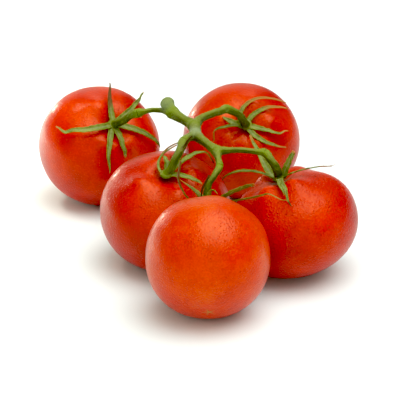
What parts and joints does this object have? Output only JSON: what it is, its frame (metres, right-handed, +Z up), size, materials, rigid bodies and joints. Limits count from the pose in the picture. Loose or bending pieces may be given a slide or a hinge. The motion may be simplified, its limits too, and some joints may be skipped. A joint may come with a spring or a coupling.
{
  "type": "truss of tomatoes",
  "caption": "Bunch of ripe round tomatoes still joined by their green vine, each with its stalk and star of curling sepals, lying on a flat surface.",
  "frame": {"origin": "on the surface that the fruits rest on, below the middle of the whole truss", "axes": "+Z up, +Y away from the front fruit towards the two back fruits and the cut end of the vine, +X to the right seen from the front"},
  "size_m": [0.1644, 0.2093, 0.0743],
  "materials": {
    "ripe_skin": "glossy smooth tomato skin, deep red with orange shoulders",
    "orange_skin": "glossy smooth tomato skin, orange red",
    "vine": "matt green stem with fine down",
    "calyx": "matt green stalk and leaf, brown at the dry tips"
  },
  "bodies": {
    "root": {"truss_stem": "vine", "calyx_1": "calyx", "calyx_2": "calyx", "calyx_3": "calyx", "calyx_4": "calyx", "calyx_5": "calyx", "tomato_1": "ripe_skin", "tomato_2": "ripe_skin", "tomato_3": "ripe_skin", "tomato_4": "ripe_skin", "tomato_5": "orange_skin"}
  },
  "joints": []
}
